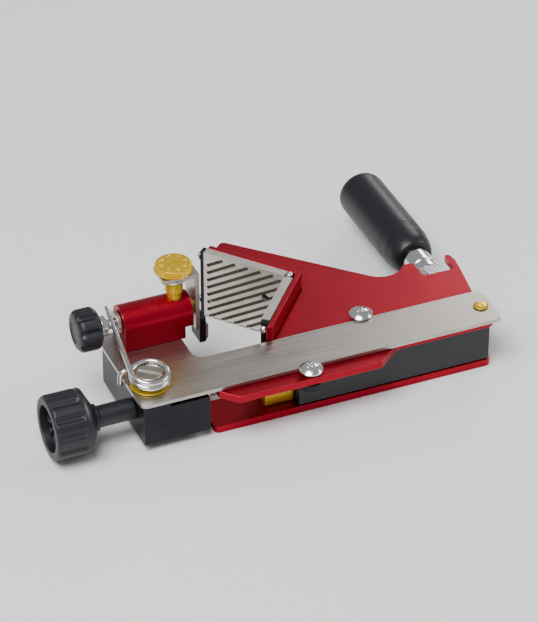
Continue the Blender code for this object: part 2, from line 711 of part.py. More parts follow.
def blade_set():
    """L bracket hung under the screw head, with the blade holder on its leg."""
    flange_top = DEPTH_TOP - DISC_THICK - GAP
    leg = BLOCK_RIGHT + 1.5
    flange_low = flange_top - 1.6
    profile = [(DEPTH_X - 6.4, flange_top), (DEPTH_X - 6.4, flange_low), (leg, flange_low),
               (leg, 26.3), (leg + 1.6, 26.3), (leg + 1.6, flange_top)]
    bracket = as_mesh(flat("blade_bracket", [profile], 11.0, STEEL, (0, PIN_Y, 0), PROFILE_XZ))
    bore(bracket, "bracket_eye", 3.8, (DEPTH_X, PIN_Y, 45), (DEPTH_X, PIN_Y, 55))
    slot = bpy.data.meshes.new("bracket_slot")
    work = bmesh.new()
    bmesh.ops.create_cube(work, size=MM, matrix=Matrix.Diagonal((6, 4.8, 7.6, 1)))
    work.to_mesh(slot)
    work.free()
    cut(bracket, slot, "bracket_slot", Matrix.Translation(Vector((leg, PIN_Y, PIN_Z - 0.3)) * MM))
    screw_z = 28.3
    bore(bracket, "bracket_screw_hole", 1.3, (leg - 2, PIN_Y, screw_z), (leg + 3, PIN_Y, screw_z),
         count=16)
    face = leg + 1.6 + GAP
    holder = box("blade_holder", (face, PIN_Y - 4.5, 19.0), (face + 2.6, PIN_Y + 4.5, 30.4), DARK)
    bore(holder, "holder_hole", 1.3, (face - 1, PIN_Y, screw_z), (face + 4, PIN_Y, screw_z),
         count=16)
    tip = [(face + 2.9, 18.2), (face + 4.0, 20.4), (face + 4.0, 26.3), (face + 2.9, 26.3)]
    flat("blade", [tip], 7.0, STEEL, (0, PIN_Y, 0), PROFILE_XZ)
    screw = [(0, 1.2), (1.0, 1.1), (1.6, 0.4), (1.6, 0), (1.0, 0), (1.0, -4.3), (0, -4.3)]
    turned("blade_screw", screw, DARK, (face + 2.9, PIN_Y, screw_z), ALONG_X, steps=20)


# ---------------------------------------------------------------- torsion spring

def spring_path():
    """Hook past the plate's edge, a tilted helix that turns clockwise in plan, the long leg."""
    hook_x = STRIP_LEFT - GAP - WIRE_RADIUS
    back = SPRING_Y + SPRING_RADIUS
    first = SPRING_LOW + SPRING_TILT * SPRING_RADIUS
    points = [(hook_x, back, STRIP_TOP - 1.8), (hook_x, back, first - 1.5),
              (hook_x + 1.5, back, first)]
    start = math.radians(90)
    turns = 1.75
    sweep = turns * 2 * math.pi
    count = 42
    for i in range(count + 1):
        angle = start - sweep * i / count
        height = SPRING_LOW + SPRING_PITCH * turns * i / count
        height += SPRING_TILT * SPRING_RADIUS * math.sin(angle)
        points.append((SPRING_X + SPRING_RADIUS * math.cos(angle),
                       SPRING_Y + SPRING_RADIUS * math.sin(angle), height))
    points.append((BLOCK_LEFT - 3.4, PIN_Y + 4.5, PIN_Z + PIN_RADIUS + WIRE_RADIUS + 1.7))
    return points


def torsion_spring():
    curve = bpy.data.curves.new("torsion_spring", "CURVE")
    curve.dimensions = "3D"
    curve.bevel_depth = WIRE_RADIUS * MM
    curve.bevel_resolution = 2
    curve.use_fill_caps = True
    path = spring_path()
    spline = curve.splines.new("POLY")
    spline.points.add(len(path) - 1)
    for point, spot in zip(spline.points, path):
        point.co = (*(Vector(spot) * MM), 1)
    place(bpy.data.objects.new("torsion_spring", curve), "torsion_spring", CHROME)
    centre = (SPRING_X, SPRING_Y, 0)
    sleeve("spring_washer", 2.3, 7.6, STRIP_TOP + GAP, STRIP_TOP + 0.7, BRASS, centre)
    post = [(0, 30.4), (4.7, 30.4), (5.0, 30.1), (5.0, 25.5), (2.0, 25.5), (2.0, 19.6), (0, 19.6)]
    turned("spring_post", post, STEEL, centre, steps=24)


body_plates()
base_screws()
core_block()
guide_supports()
guide_screws()
v_cradle()
rib_plates()
apex_pin()
feed_nut()
handle()
slide_plate()
jaw_block()
spindle_block()
block_screw()
feed()
index_pin()
depth_screw()
blade_set()
torsion_spring()
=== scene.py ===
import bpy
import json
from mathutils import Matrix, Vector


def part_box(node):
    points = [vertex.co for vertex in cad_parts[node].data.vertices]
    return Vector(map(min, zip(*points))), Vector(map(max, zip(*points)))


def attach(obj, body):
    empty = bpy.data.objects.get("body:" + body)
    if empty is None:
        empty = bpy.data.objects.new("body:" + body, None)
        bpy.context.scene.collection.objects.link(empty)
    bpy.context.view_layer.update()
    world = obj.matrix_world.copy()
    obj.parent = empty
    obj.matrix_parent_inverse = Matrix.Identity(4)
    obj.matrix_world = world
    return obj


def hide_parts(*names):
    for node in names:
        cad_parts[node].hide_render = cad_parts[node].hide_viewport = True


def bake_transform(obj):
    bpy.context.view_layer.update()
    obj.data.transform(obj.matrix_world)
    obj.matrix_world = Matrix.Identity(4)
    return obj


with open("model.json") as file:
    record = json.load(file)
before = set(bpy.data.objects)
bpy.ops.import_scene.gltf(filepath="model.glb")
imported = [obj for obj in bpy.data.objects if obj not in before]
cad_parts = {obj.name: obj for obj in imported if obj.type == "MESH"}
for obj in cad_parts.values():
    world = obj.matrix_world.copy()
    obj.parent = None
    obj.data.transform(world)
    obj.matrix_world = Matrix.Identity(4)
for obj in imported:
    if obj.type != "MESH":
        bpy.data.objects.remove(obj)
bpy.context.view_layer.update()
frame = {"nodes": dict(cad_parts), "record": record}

import json
import math

import bmesh
import bpy
import numpy as np
from mathutils import Vector

mm = 0.001
nodes = frame["nodes"]
bodies = frame["record"]["behaviour"]["bodies"]
bodyOf = {node: body for body, names in bodies.items() for node in names}


# sRGB hex to linear light: c / 12.92 in the darks, ((c + 0.055) / 1.055) ^ 2.4 above
def linear(hexColour):
    channels = [int(hexColour[i:i + 2], 16) / 255 for i in (1, 3, 5)]
    return [c / 12.92 if c <= 0.04045 else ((c + 0.055) / 1.055) ** 2.4 for c in channels] + [1.0]


# one node, with its settings, its fixed inputs and the links into it
def addNode(tree, kind, settings=None, inputs=None):
    node = tree.nodes.new(kind)
    for key, value in (settings or {}).items():
        setattr(node, key, value)
    for key, value in (inputs or {}).items():
        if isinstance(value, bpy.types.NodeSocket):
            tree.links.new(value, node.inputs[key])
        else:
            node.inputs[key].default_value = value
    return node


# A finish has three patterns on object coordinates: a broad cloud that shifts the colour, a grain
# that follows the way it was made (its cycles per metre along x, y and z), and sparse marks.
def makeFinish(name, look):
    made = bpy.data.materials.new(name)
    made.use_nodes = True
    tree = made.node_tree
    shader = tree.nodes["Principled BSDF"]
    place = addNode(tree, "ShaderNodeTexCoord").outputs["Object"]
    cloud = addNode(tree, "ShaderNodeTexNoise", None,
                    {"Vector": place, "Scale": look.get("cloud", 70), "Detail": 3.0})
    along = addNode(tree, "ShaderNodeMapping", None, {"Vector": place, "Scale": look["grain"]})
    grain = addNode(tree, "ShaderNodeTexNoise", None,
                    {"Vector": along.outputs[0], "Scale": 1.0, "Detail": 4.0, "Roughness": 0.6})
    scuff = addNode(tree, "ShaderNodeMapping", None,
                    {"Vector": place, "Scale": look.get("marks", (90, 500, 500)),
                     "Rotation": (0.3, 0.2, 0.5)})
    marks = addNode(tree, "ShaderNodeTexNoise", None,
                    {"Vector": scuff.outputs[0], "Scale": 1.0, "Detail": 6.0, "Roughness": 0.7})
    mark = addNode(tree, "ShaderNodeMapRange", None,
                   {"Value": marks.outputs["Fac"], "From Min": 0.62, "From Max": 0.74,
                    "To Min": 0.0, "To Max": look.get("wear", 0.25)})
    tone = addNode(tree, "ShaderNodeMapRange", None,
                   {"Value": cloud.outputs["Fac"], "From Min": 0.35, "From Max": 0.65})
    streak = addNode(tree, "ShaderNodeMapRange", None,
                     {"Value": grain.outputs["Fac"], "From Min": 0.3, "From Max": 0.7,
                      "To Min": 0.0, "To Max": look.get("streak", 0.4)})
    base = addNode(tree, "ShaderNodeMix", {"data_type": "RGBA"},
                   {"Factor": tone.outputs[0], 6: linear(look["colour"]),
                    7: linear(look["cloudColour"])})
    grained = addNode(tree, "ShaderNodeMix", {"data_type": "RGBA"},
                      {"Factor": streak.outputs[0], 6: base.outputs[2],
                       7: linear(look["grainColour"])})
    worn = addNode(tree, "ShaderNodeMix", {"data_type": "RGBA"},
                   {"Factor": mark.outputs[0], 6: grained.outputs[2],
                    7: linear(look["wornColour"])})
    low, high = look["roughness"]
    rough = addNode(tree, "ShaderNodeMapRange", None,
                    {"Value": grain.outputs["Fac"], "From Min": 0.25, "From Max": 0.75,
                     "To Min": low, "To Max": high})
    bump = addNode(tree, "ShaderNodeBump", None,
                   {"Height": grain.outputs["Fac"], "Strength": look.get("bump", 0.3),
                    "Distance": look.get("depth", 0.02) * mm})
    tree.links.new(worn.outputs[2], shader.inputs["Base Color"])
    tree.links.new(rough.outputs[0], shader.inputs["Roughness"])
    tree.links.new(bump.outputs[0], shader.inputs["Normal"])
    shader.inputs["Metallic"].default_value = look.get("metallic", 1.0)
    shader.inputs["Coat Weight"].default_value = look.get("coat", 0.0)
    shader.inputs["Coat Roughness"].default_value = look.get("coatRoughness", 0.2)
    return made


# Anodised aluminium, bead blasted first: a deep even red, and its reflections are red as well.
anodised = {
    "colour": "#A20A24", "cloudColour": "#960820",
    "grainColour": "#B0102B", "wornColour": "#C43046",
    "grain": (1500, 1500, 1500), "streak": 0.5, "wear": 0.15, "roughness": (0.34, 0.44),
    "metallic": 0.88, "coat": 0.05, "coatRoughness": 0.25, "bump": 0.25, "depth": 0.03,
}
# The same plates where a tool or a hand has rubbed the edges, with a painted highlight along them
# as well: paler and a little brighter.
anodisedEdgeWearAndHighlight = dict(anodised, colour="#CC2C46", cloudColour="#C0243C", grainColour="#DC4C62",
                    wornColour="#EC94A0", wear=0.5)
# Stainless strip, brushed along its length: streaks 0.7 mm apart, drawn coarser than life.
brushed = {
    "colour": "#B2ACA5", "cloudColour": "#A69F98",
    "grainColour": "#CCC7C0", "wornColour": "#E2DED8",
    "grain": (32, 1400, 1400), "streak": 0.8, "wear": 0.2, "roughness": (0.28, 0.42),
    "bump": 0.25, "depth": 0.02, "marks": (60, 700, 700),
}
# The strip's rounded edges: paler and smoother, partly deburred wear and partly a painted
# highlight.
brushedEdgeWearAndHighlight = dict(brushed, colour="#DAD7D1", cloudColour="#CFCBC4", roughness=(0.18, 0.3))
# Nickel plated wear plate: warm, pale and slightly dull.
nickel = {
    "colour": "#DAD3C8", "cloudColour": "#C6BEB1",
    "grainColour": "#EAE5DC", "wornColour": "#A39B8D",
    "grain": (900, 900, 300), "streak": 0.5, "wear": 0.3, "roughness": (0.28, 0.42),
    "bump": 0.3, "depth": 0.03, "metallic": 0.85,
}
# The wear plate's rounded edges: paler, with white marks, partly rubbed wear and partly a painted
# highlight with painted glints.
nickelEdgeWearAndHighlight = dict(nickel, colour="#F2EEE7", cloudColour="#E8E3DA", wornColour="#FFFFFF",
                  roughness=(0.2, 0.3))
# Between the ribs the plate is painted darker for the shade in its grooves: brown-grey, dull, and
# barely metallic.
grooveShadeLook = dict(nickel, colour="#625A4E", cloudColour="#504A41", grainColour="#7A7164",
             wornColour="#8C8476", roughness=(0.5, 0.7), metallic=0.45)
# Bright zinc or chrome plate on screws, wire and the handle's stud: clear and nearly white.
bright = {
    "colour": "#EAEAE8", "cloudColour": "#DEDEDC",
    "grainColour": "#F4F4F2", "wornColour": "#C0C0BC",
    "grain": (1200, 1200, 1200), "streak": 0.3, "wear": 0.2, "roughness": (0.12, 0.22),
    "bump": 0.15, "depth": 0.02,
}
# Turned brass: yellow, with a fine even grain and a few browner marks.
brass = {
    "colour": "#EEC82C", "cloudColour": "#E2B626",
    "grainColour": "#F6D84E", "wornColour": "#B4882A",
    "grain": (1300, 1300, 900), "streak": 0.25, "wear": 0.06, "roughness": (0.26, 0.34),
    "metallic": 0.7, "bump": 0.06, "depth": 0.01,
}
# Glass-filled nylon, moulded: blue-black with a fine spark-eroded texture that greys the lights.
nylon = {
    "colour": "#15161B", "cloudColour": "#111217",
    "grainColour": "#1F2027", "wornColour": "#33343D",
    "grain": (1400, 1400, 1400), "streak": 0.6, "wear": 0.15, "roughness": (0.38, 0.52),
    "metallic": 0.0, "bump": 0.5, "depth": 0.06,
}
# The handle's grip: smooth satin PVC, so a long soft light runs down it.
satin = dict(nylon, colour="#121216", grainColour="#18181D", roughness=(0.36, 0.46), bump=0.2,
             depth=0.03)
# Oil-blackened steel, as on socket screws and the hidden sliding block.
blackened = {
    "colour": "#2A2A2E", "cloudColour": "#232327",
    "grainColour": "#34343A", "wornColour": "#55534F",
    "grain": (1100, 1100, 1100), "streak": 0.4, "wear": 0.15, "roughness": (0.34, 0.48),
    "metallic": 0.85, "bump": 0.2, "depth": 0.02,
}
# The blackened pieces' rounded edges: much lighter grey, partly rubbed wear and partly a painted
# highlight.
blackenedEdgeWearAndHighlight = dict(blackened, colour="#5A5A5E", cloudColour="#4A4A50", wornColour="#8A8884",
                     wear=0.5)
# Milled aluminium: grey with cutter lines across it.
milled = {
    "colour": "#9C9C9E", "cloudColour": "#8C8C90",
    "grainColour": "#BCBCBE", "wornColour": "#D4D4D4",
    "grain": (1400, 90, 1400), "streak": 0.6, "wear": 0.2, "roughness": (0.3, 0.46),
    "bump": 0.3, "depth": 0.03,
}

looks = {
    "anodised aluminium": anodised,
    "anodised edge wear and painted highlight": anodisedEdgeWearAndHighlight,
    "brushed stainless": brushed,
    "stainless edge wear and painted highlight": brushedEdgeWearAndHighlight,
    "nickel plate": nickel,
    "nickel edge wear and painted highlight": nickelEdgeWearAndHighlight,
    "nickel with painted groove shade": grooveShadeLook,
    "bright plate": bright,
    "turned brass": brass,
    "moulded nylon": nylon,
    "satin grip": satin,
    "blackened steel": blackened,
    "blackened edge wear and painted highlight": blackenedEdgeWearAndHighlight,
    "milled aluminium": milled,
}
finishes = {name: makeFinish(name, look) for name, look in looks.items()}
print("finishes made:", len(finishes))


def lowHighMiddle(node):
    low, high = (np.array(corner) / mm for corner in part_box(node))
    return low, high, (low + high) / 2


# the piece stands for its node, rides on that node's body and takes its slot
def settle(piece, node, finishNames):
    for name in finishNames:
        piece.data.materials.append(finishes[name])
    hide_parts(node)
    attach(piece, bodyOf[node])
    return piece


# a mesh from a grid of points in mm, rows by columns; columns always close round, rows may
def gridMesh(name, points, closedRows=False):
    rows, columns = points.shape[:2]
    index = np.arange(rows * columns).reshape(rows, columns)
    here = index if closedRows else index[:-1]
    ahead = np.roll(index, -1, axis=0) if closedRows else index[1:]
    quads = np.stack([here, np.roll(here, -1, axis=1), np.roll(ahead, -1, axis=1), ahead], axis=-1)
    mesh = bpy.data.meshes.new(name)
    mesh.from_pydata((points.reshape(-1, 3) * mm).tolist(), [], quads.reshape(-1, 4).tolist())
    work = bmesh.new()
    work.from_mesh(mesh)
    bmesh.ops.remove_doubles(work, verts=work.verts, dist=1e-8)
    bmesh.ops.dissolve_degenerate(work, dist=1e-8, edges=work.edges)
    bmesh.ops.recalc_face_normals(work, faces=work.faces)
    work.to_mesh(mesh)
    work.free()
    mesh.polygons.foreach_set("use_smooth", [True] * len(mesh.polygons))
    mesh.set_sharp_from_angle(angle=math.radians(40))
    piece = bpy.data.objects.new(name, mesh)
    bpy.context.scene.collection.objects.link(piece)
    return piece


# Corners of (radius, distance) in mm become short curves, (1-t)^2 a + 2t(1-t) corner + t^2 b,
# and no straight stretch stays longer than the step.
def smoothProfile(corners, fillet, step, closed):
    corners = np.array(corners, float)
    t = np.linspace(0, 1, 5)[:, None]
    runs = []
    for i, here in enumerate(corners):
        if not closed and i in (0, len(corners) - 1):
            runs.append(here[None])
            continue
        back = corners[i - 1] - here
        ahead = corners[(i + 1) % len(corners)] - here
        reach = min(fillet, 0.45 * np.hypot(*back), 0.45 * np.hypot(*ahead))
        a = here + back / np.hypot(*back) * reach
        b = here + ahead / np.hypot(*ahead) * reach
        runs.append((1 - t) ** 2 * a + 2 * t * (1 - t) * here + t ** 2 * b)
    path = np.concatenate(runs + [runs[0][:1]] if closed else runs)
    lengths = np.hypot(*np.diff(path, axis=0).T)
    pieces = [np.linspace(p, q, max(1, math.ceil(length / step)), endpoint=False)
              for p, q, length in zip(path[:-1], path[1:], lengths) if length > 1e-9]
    return np.concatenate(pieces if closed else pieces + [path[-1:]])


# A turned piece: radius r(s, t) and distance h(s, t) for profile place s and angle t. On the z
# axis the point is (x0 + r cos t, y0 + r sin t, h); on x and y the three are passed round.
def turned(name, node, axis, corners, finish, shape=None, fillet=0.25, step=1.0, steps=72,
           ring=False):
    low, _, middle = lowHighMiddle(node)
    profile = smoothProfile(corners, fillet, step, ring)
    angle = np.linspace(0, 2 * np.pi, steps, endpoint=False)[None, :]
    radius = np.repeat(profile[:, :1], steps, axis=1)
    distance = np.repeat(profile[:, 1:], steps, axis=1)
    if shape:
        radius, distance = shape(radius, distance, angle)
    points = np.empty(radius.shape + (3,))
    first, second = (axis + 1) % 3, (axis + 2) % 3
    points[..., axis] = low[axis] + distance
    points[..., first] = middle[first] + radius * np.cos(angle)
    points[..., second] = middle[second] + radius * np.sin(angle)
    return settle(gridMesh(name, points, ring), node, [finish])


edgeLook = {"segments": 3, "flatAngle": 0.5, "sharpAngle": 30, "flatWeight": 100}


# a merged copy of a plate-like node with its sharp edges rounded; the rounds get the second finish
def refined(name, node, width, finishNames):
    mesh = nodes[node].data.copy()
    mesh.name = name
    mesh.materials.clear()
    work = bmesh.new()
    work.from_mesh(mesh)
    bmesh.ops.remove_doubles(work, verts=work.verts, dist=1e-6)
    bmesh.ops.dissolve_limit(work, angle_limit=math.radians(edgeLook["flatAngle"]),
                             verts=work.verts, edges=work.edges)
    work.to_mesh(mesh)
    work.free()
    mesh.polygons.foreach_set("use_smooth", [True] * len(mesh.polygons))
    piece = bpy.data.objects.new(name, mesh)
    bpy.context.scene.collection.objects.link(piece)
    bevel = piece.modifiers.new("edges", "BEVEL")
    bevel.width = width * mm
    bevel.segments = edgeLook["segments"]
    bevel.limit_method = "ANGLE"
    bevel.angle_limit = math.radians(edgeLook["sharpAngle"])
    # the rounds take the edge finish: rubbed wear plus a painted highlight along every rounded edge
    bevel.material = 1 if len(finishNames) > 1 else -1
    flats = piece.modifiers.new("flats", "WEIGHTED_NORMAL")
    flats.mode = "FACE_AREA"
    flats.weight = edgeLook["flatWeight"]
    return settle(piece, node, finishNames)


# The faces that lie between two depths behind the plate's front take its third finish, the painted
# groove shade; a depth is the distance along the direction that points into the plate.
def paintGrooveShade(piece, inward, shallow, deep):
    mesh = piece.data
    centres = np.empty(len(mesh.polygons) * 3)
    mesh.polygons.foreach_get("center", centres)
    points = np.empty(len(mesh.vertices) * 3)
    mesh.vertices.foreach_get("co", points)
    front = (points.reshape(-1, 3) @ inward).min()
    depth = (centres.reshape(-1, 3) @ inward - front) / mm
    mesh.polygons.foreach_set("material_index", np.where((depth > shallow) & (depth < deep), 2, 0))


# 0 below the edge, 1 above it, with a smooth rise of the given width between
def rise(value, edge, width):
    t = np.clip((value - edge) / width + 0.5, 0, 1)
    return t * t * (3 - 2 * t)


# 1 between two edges and 0 outside them; each edge is its place and the width of its rise
def between(value, start, stop):
    return rise(value, *start) * (1 - rise(value, *stop))


# each pair is a face finish and an edge finish that holds wear and a painted highlight
red = ["anodised aluminium", "anodised edge wear and painted highlight"]
steel = ["brushed stainless", "stainless edge wear and painted highlight"]
black = ["blackened steel", "blackened edge wear and painted highlight"]
platePieces = [
    ("upperPlate", "upper_plate", 0.30, red),
    ("lowerPlate", "lower_plate", 0.30, red),
    ("cradleWalls", "v_cradle", 0.30, red),
    ("spindleBlock", "spindle_block", 0.40, red),
    ("slidePlate", "slide_plate", 0.22, steel),
    ("bladeBracket", "blade_bracket", 0.25, steel),
    ("bladeEdge", "blade", 0.10, steel),
    ("rearEndStrip", "rear_end_strip", 0.20, black),
    ("frontEndStrip", "front_end_strip", 0.20, black),
    ("jawBlock", "jaw_block", 0.40, black),
    ("bladeHolder", "blade_holder", 0.30, black),
    ("feedNut", "feed_nut", 0.30, ["turned brass"]),
    ("handleSocket", "handle_socket", 0.50, ["milled aluminium"]),
    ("handleNut", "handle_nut", 0.45, ["bright plate"]),
    ("coreBlock", "core_block", 0.40, ["moulded nylon"]),
    ("frontGuideNut", "front_guide_nut", 0.35, ["blackened steel"]),
]
for name, node, width, finishNames in platePieces:
    refined(name, node, width, finishNames)
ribLook = {"halfAngle": 50, "grooveFrom": 0.15, "grooveTo": 1.0}
halfAngle = math.radians(ribLook["halfAngle"])
for place, side in (("rear", 1), ("front", -1)):
    # each rib plate: nickel faces, edges with wear and a painted highlight, and painted shade in
    # the grooves
    ribs = refined(f"{place}RibPlate", f"{place}_rib_plate", 0.14,
                   ["nickel plate", "nickel edge wear and painted highlight", "nickel with painted groove shade"])
    inward = np.array([math.sin(halfAngle), side * math.cos(halfAngle), 0.0])
    paintGrooveShade(ribs, inward, ribLook["grooveFrom"], ribLook["grooveTo"])
print("plates and blocks:", len(platePieces) + 2)


screwLook = {"hexFlat": 1.15, "socketFrom": 0.9, "socketTo": 1.25, "slotWidth": 0.9,
             "slotTurn": 0.7, "slotSoft": 0.35, "floorSoft": 0.1}


# a six-sided socket: a wall of the given radius stands at r = flat / cos(angle within its side)
def hexSocket(lowEdge, highEdge):
    def shape(radius, distance, angle):
        side = np.mod(angle, np.pi / 3) - np.pi / 6
        six = screwLook["hexFlat"] / np.cos(side)
        wall = (radius < screwLook["socketTo"]) & (radius > screwLook["socketFrom"])
        inner = wall & (distance > lowEdge) & (distance < highEdge)
        return np.where(inner, six, radius), distance
    return shape


# a straight slot across the middle of a head
def slotted(edge, depth):
    def shape(radius, distance, angle):
        across = np.abs(radius * np.sin(angle + screwLook["slotTurn"]))
        inside = 1 - rise(across, screwLook["slotWidth"] / 2, screwLook["slotSoft"])
        return radius, distance - depth * (inside * rise(distance, edge, screwLook["floorSoft"]))
    return shape


# The domed guide screws have straight-walled cross recesses, so they keep their own solids.
for place in ("rear", "front"):
    refined(f"{place}GuideScrew", f"{place}_guide_screw", 0.12, ["bright plate"])

for number in range(1, 8):
    corners = [(0, 1.6), (1.2, 1.6), (1.2, 0), (2.85, 0), (1.4, 1.9), (1.4, 8.7), (0, 8.7)]
    turned(f"baseScrew{number}", f"base_screw_{number}", 2, corners, "blackened steel",
           hexSocket(-0.1, 1.7), fillet=0.12, step=0.5, steps=60)

corners = [(0, 2.2), (1.2, 2.2), (1.2, 0), (3.0, 0), (3.0, 3.7), (1.5, 3.7), (1.5, 22.7), (0, 22.7)]
turned("blockScrew", "block_screw", 2, corners, "blackened steel", hexSocket(-0.1, 2.3),
       fillet=0.15)
corners = [(0, 0), (1.0, 0), (1.0, 4.3), (1.6, 4.3), (1.6, 4.7), (1.0, 5.4), (0, 5.5)]
turned("bladeScrew", "blade_screw", 0, corners, "blackened steel", slotted(4.7, 0.5), step=0.15)
corners = [(0, 0), (1.4, 0), (1.4, 30.4), (0.9, 31.1), (0, 31.3)]
turned("apexPin", "apex_pin", 2, corners, "bright plate", fillet=0.5, step=1.5, steps=48)
corners = [(0, 0), (2.0, 0), (2.0, 1.8), (3.0, 1.8), (3.0, 2.0), (2.2, 2.4), (0.9, 2.5), (0.8, 2.2),
           (0, 2.2)]
turned("endRivet", "end_rivet", 2, corners, "turned brass", fillet=0.2, step=0.4, steps=56)

# The end and face screws lie along the cradle's arms, so a merged, rounded copy keeps their aim.
for place in ("rear", "front"):
    for level in ("top", "low"):
        refined(f"{place}EndScrew{level.title()}", f"{place}_end_screw_{level}", 0.12,
                ["bright plate"])
    refined(f"{place}FaceScrew", f"{place}_face_screw", 0.15, ["blackened steel"])
print("screws made")


handleLook = {"rings": 3, "ringDepth": 0.18, "ringPitch": 1.6, "ringStart": 10.0, "outside": 9.5}


# three shallow moulded rings near the grip's inner end: r falls by ringDepth (1 - cos) / 2 there
def gripRings(radius, distance, angle):
    pitch, count = handleLook["ringPitch"], handleLook["rings"]
    phase = (distance - handleLook["ringStart"]) / pitch
    inRings = (phase > 0) & (phase < count) & (radius > handleLook["outside"])
    fall = handleLook["ringDepth"] * (1 - np.cos(2 * np.pi * phase)) / 2
    return radius - inRings * fall, distance


corners = [(4.4, 0), (7.6, 0), (9.0, 3.0), (10.0, 9.0), (10.0, 52.4), (9.6, 54.4), (8.2, 55.4),
           (6.6, 55.4), (6.6, 45.4), (4.4, 45.4)]
turned("handleGrip", "handle_grip", 1, corners, "satin grip", gripRings, fillet=1.6, step=0.4,
       steps=96, ring=True)
corners = [(0, 0), (6.3, 0), (6.3, 3.7), (5.6, 4.3), (3.6, 4.4), (3.2, 4.0), (0, 3.9)]
turned("gripEndCap", "grip_end_cap", 1, corners, "moulded nylon", fillet=0.4, step=0.8)
corners = [(0, 0), (4.0, 0), (4.0, 20.1), (5.9, 20.5), (5.9, 24.4), (5.5, 24.8), (5.5, 25.4),
           (5.9, 25.8), (5.9, 33.0), (4.0, 33.5), (4.0, 80.0), (2.6, 80.0), (2.6, 82.3), (0, 82.3)]
turned("handleStud", "handle_stud", 1, corners, "bright plate", fillet=0.3, step=1.2, steps=80)
nodes["grip_washer"].data.materials.clear()
nodes["grip_washer"].data.materials.append(finishes["brushed stainless"])


feedLook = {
    "flutes": 12, "fluteDepth": 1.1, "fluteStart": (1.0, 1.2), "fluteStop": (12.2, 1.6),
    "fluteRadius": 11.0, "ribs": 8, "ribHeight": 1.4, "crest": (0.2, 0.5), "starStart": (3.4, 1.0),
    "starStop": (8.2, 0.8), "starFace": 0.6, "lead": 4.0, "starts": 2, "threadDepth": 0.45,
    "threadStart": (60.0, 1.0), "threadStop": (101.5, 1.0), "threadRadius": 2.5, "steepness": 1.6,
}


# flutes along the knob: r falls by fluteDepth max(0, -cos(12 t)) between two smooth ends
def knobFlutes(radius, distance, angle):
    scoop = np.maximum(0, -np.cos(feedLook["flutes"] * angle))
    along = between(distance, feedLook["fluteStart"], feedLook["fluteStop"])
    window = along * (radius > feedLook["fluteRadius"])
    return radius - feedLook["fluteDepth"] * scoop * window, distance


# raised ribs like a star in the hub's left face: it stands out where cos(8 t) is high
def hubStar(radius, distance, angle):
    crest = rise(np.cos(feedLook["ribs"] * angle), *feedLook["crest"])
    across = between(radius, feedLook["starStart"], feedLook["starStop"])
    window = across * (distance < feedLook["starFace"])
    return radius, distance - feedLook["ribHeight"] * crest * window


# A right-hand thread: its crest passes where starts (x / lead - t / 2 pi) is whole.
def feedThread(radius, distance, angle):
    turn = feedLook["starts"] * (distance / feedLook["lead"] - angle / (2 * np.pi))
    along = between(distance, feedLook["threadStart"], feedLook["threadStop"])
    window = along * (radius > feedLook["threadRadius"])
    groove = 0.5 - 0.5 * np.clip(feedLook["steepness"] * np.cos(2 * np.pi * turn), -1, 1)
    return radius - feedLook["threadDepth"] * groove * window, distance


corners = [(9.3, 0), (12.1, 0), (13.0, 1.0), (13.0, 12.4), (12.6, 13.2), (13.0, 14.0), (12.8, 15.0),
           (9.3, 15.0)]
turned("feedKnob", "feed_knob", 0, corners, "moulded nylon", knobFlutes, fillet=0.5, step=0.5,
       steps=168, ring=True)
corners = [(3.3, 0), (9.0, 0), (9.0, 11.3), (11.8, 11.3), (5.4, 14.5), (5.4, 15.7), (4.3, 16.0),
           (4.3, 30.7), (3.3, 30.7)]
turned("feedHub", "feed_hub", 0, corners, "moulded nylon", hubStar, fillet=0.35, step=0.5,
       steps=144, ring=True)
corners = [(0, 0), (3.0, 0), (3.0, 102.0), (2.2, 103.0), (0, 103.0)]
turned("feedScrew", "feed_screw", 0, corners, "brushed stainless", feedThread, fillet=0.15,
       step=0.25, steps=56)
print("handle and feed made")


knobLook = {"lobes": 8, "lobeDepth": 1.2, "lobeStart": (1.0, 1.6), "lobeStop": (9.0, 1.6),
            "lobeRadius": (6.2, 1.0)}


# eight finger scoops whose depth fades towards both faces of the knob
def pullScoops(radius, distance, angle):
    scoop = np.maximum(0, -np.cos(knobLook["lobes"] * angle))
    along = between(distance, knobLook["lobeStart"], knobLook["lobeStop"])
    window = along * rise(radius, *knobLook["lobeRadius"])
    return radius - knobLook["lobeDepth"] * scoop * window, distance


corners = [(0, 2.2), (2.3, 2.2), (2.3, 10.0), (4.4, 10.0), (7.2, 9.6), (8.5, 8.2), (8.5, 1.8),
           (7.2, 0.4), (4.8, 0), (4.2, 0.5), (0, 0.5)]
turned("pullKnob", "pull_knob", 0, corners[::-1], "moulded nylon", pullScoops, fillet=0.7, step=0.4,
       steps=128)
corners = [(0, 0), (2.0, 0), (2.0, 47.2), (1.4, 48.3), (0, 48.6)]
turned("indexPin", "index_pin", 0, corners, "brushed stainless", fillet=0.5, step=1.5, steps=48)


# a plain ring: a rectangle of wall and length, its corners rounded, carried round the axis
def ringPiece(name, node, axis, inner, outer, finish, fillet=0.25):
    low, high, _ = lowHighMiddle(node)
    length = high[axis] - low[axis]
    corners = [(inner, 0), (outer, 0), (outer, length), (inner, length)]
    turned(name, node, axis, corners, finish, fillet=fillet, step=0.8, steps=80, ring=True)


